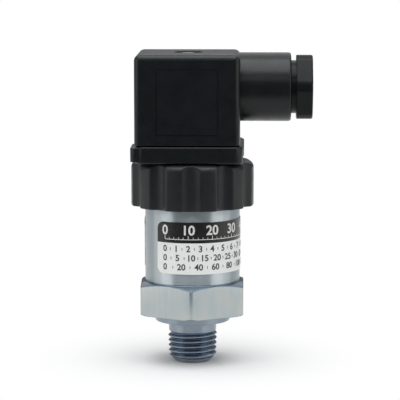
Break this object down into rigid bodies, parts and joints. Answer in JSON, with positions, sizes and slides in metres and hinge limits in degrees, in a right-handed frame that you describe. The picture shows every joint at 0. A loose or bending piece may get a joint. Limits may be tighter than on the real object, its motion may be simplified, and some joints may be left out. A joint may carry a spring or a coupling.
{
  "type": "pressure switch",
  "caption": "Compact mechanical pressure switch: steel body with a tapered pipe thread and wrench hexagon, fluted locking ring, and a square plug-on cable connector with side gland.",
  "frame": {"origin": "centre of the pressure port's end face, on the axis of the steel body", "axes": "+Z along the body axis from the port to the hood, +X along the cable gland's outlet, -Y is the front"},
  "size_m": [0.0476, 0.0322, 0.082],
  "materials": {
    "plated_steel": "blue-white zinc plating, turned",
    "label_film": "satin printed film",
    "black_plastic": "fine moulded grain",
    "ring_plastic": "satin moulded",
    "insulator": "moulded",
    "rubber": "matte",
    "brass": "plain",
    "spring_steel": "drawn wire",
    "screw_steel": "bright zinc plating"
  },
  "bodies": {
    "housing": {"switch_body": "plated_steel", "label": "label_film", "guide_bush": "brass", "piston_seal": "rubber", "backup_ring": "insulator", "body_seal": "rubber", "main_spring": "spring_steel"},
    "piston_unit": {"piston": "screw_steel", "spring_seat": "screw_steel", "push_rod": "screw_steel"},
    "adjuster_washer": {"thrust_washer": "screw_steel"},
    "adjuster": {"adjusting_screw": "brass"},
    "ring": {"grip_ring": "ring_plastic"},
    "head": {"switch_cup": "insulator", "common_terminal": "brass", "normally_open_terminal": "brass", "normally_closed_terminal": "brass", "earth_pin": "brass", "terminal_carrier": "black_plastic", "threaded_insert": "brass", "flat_gasket": "rubber"},
    "plunger": {"button": "insulator"},
    "blade": {"contact_blade": "brass"},
    "plug": {"hood": "black_plastic", "socket_insert": "insulator", "socket_terminal_open": "brass", "socket_terminal_closed": "brass", "socket_terminal_common": "brass", "socket_terminal_earth": "brass", "gland_seal": "rubber"},
    "clamp_open": {"terminal_screw_open": "screw_steel"},
    "clamp_closed": {"terminal_screw_closed": "screw_steel"},
    "clamp_common": {"terminal_screw_common": "screw_steel"},
    "clamp_earth": {"terminal_screw_earth": "screw_steel"},
    "sealing_washer": {"screw_washer": "rubber"},
    "plug_screw": {"retaining_screw": "screw_steel"},
    "gland_ring": {"gland_washer": "screw_steel"},
    "nut": {"gland_nut": "black_plastic"}
  },
  "joints": [
    {"name": "piston_slide", "type": "slide", "parent": "housing", "child": "piston_unit", "axis": [0, 0, 1], "range_m": [0, 0.0006], "stiffness_N_per_m": 500, "deforming": ["main_spring"]},
    {"name": "adjuster_travel", "type": "slide", "parent": "housing", "child": "adjuster_washer", "axis": [0, 0, -1], "range_m": [-0.0005, 0.0015]},
    {"name": "adjuster_turn", "type": "hinge", "parent": "adjuster_washer", "child": "adjuster", "pos_m": [0, 0, 0.0425], "axis": [0, 0, -1], "range_deg": [-181, 541]},
    {"name": "ring_turn", "type": "hinge", "parent": "housing", "child": "ring", "pos_m": [0, 0, 0.0475], "axis": [0, 0, 1], "range_deg": [0, 90]},
    {"name": "head_swivel", "type": "hinge", "parent": "housing", "child": "head", "pos_m": [0, 0, 0.0535], "axis": [0, 0, 1], "range_deg": [-180, 180]},
    {"name": "plunger_slide", "type": "slide", "parent": "head", "child": "plunger", "axis": [0, 0, 1], "range_m": [0, 0.00061]},
    {"name": "blade_tilt", "type": "hinge", "parent": "head", "child": "blade", "pos_m": [-0.005, 0, 0.04905], "axis": [0, -1, 0], "range_deg": [0, 7]},
    {"name": "plug_lift", "type": "slide", "parent": "head", "child": "plug", "axis": [0, 0, 1], "range_m": [0, 0.016]},
    {"name": "clamp_open_turn", "type": "hinge", "parent": "plug", "child": "clamp_open", "pos_m": [0.0048, 0, 0.0695], "axis": [0, 0, 1], "range_deg": [0, 720]},
    {"name": "clamp_closed_turn", "type": "hinge", "parent": "plug", "child": "clamp_closed", "pos_m": [-0.0011, 0.0059, 0.0695], "axis": [0, 0, 1], "range_deg": [0, 720]},
    {"name": "clamp_common_turn", "type": "hinge", "parent": "plug", "child": "clamp_common", "pos_m": [-0.007, 0, 0.0695], "axis": [0, 0, 1], "range_deg": [0, 720]},
    {"name": "clamp_earth_turn", "type": "hinge", "parent": "plug", "child": "clamp_earth", "pos_m": [-0.0011, -0.0059, 0.0695], "axis": [0, 0, 1], "range_deg": [0, 720]},
    {"name": "screw_travel", "type": "slide", "parent": "plug", "child": "sealing_washer", "axis": [0, 0, 1], "range_m": [0, 0.005]},
    {"name": "screw_turn", "type": "hinge", "parent": "sealing_washer", "child": "plug_screw", "pos_m": [-0.0011, 0, 0.08], "axis": [0, 0, 1], "range_deg": [0, 3601]},
    {"name": "nut_travel", "type": "slide", "parent": "plug", "child": "gland_ring", "axis": [1, 0, 0], "range_m": [0, 0.006]},
    {"name": "nut_turn", "type": "hinge", "parent": "gland_ring", "child": "nut", "pos_m": [0.03, 0, 0.0729], "axis": [1, 0, 0], "range_deg": [0, 1441]}
  ],
  "couplings": [
    {"joint": "plunger_slide", "follows": "piston_slide", "ratio": 1},
    {"joint": "blade_tilt", "follows": "piston_slide", "rad_per_m": 200},
    {"joint": "adjuster_turn", "follows": "adjuster_travel", "rad_per_m": 6283.2},
    {"joint": "screw_turn", "follows": "screw_travel", "rad_per_m": 12566},
    {"joint": "nut_turn", "follows": "nut_travel", "rad_per_m": 4188.8}
  ]
}
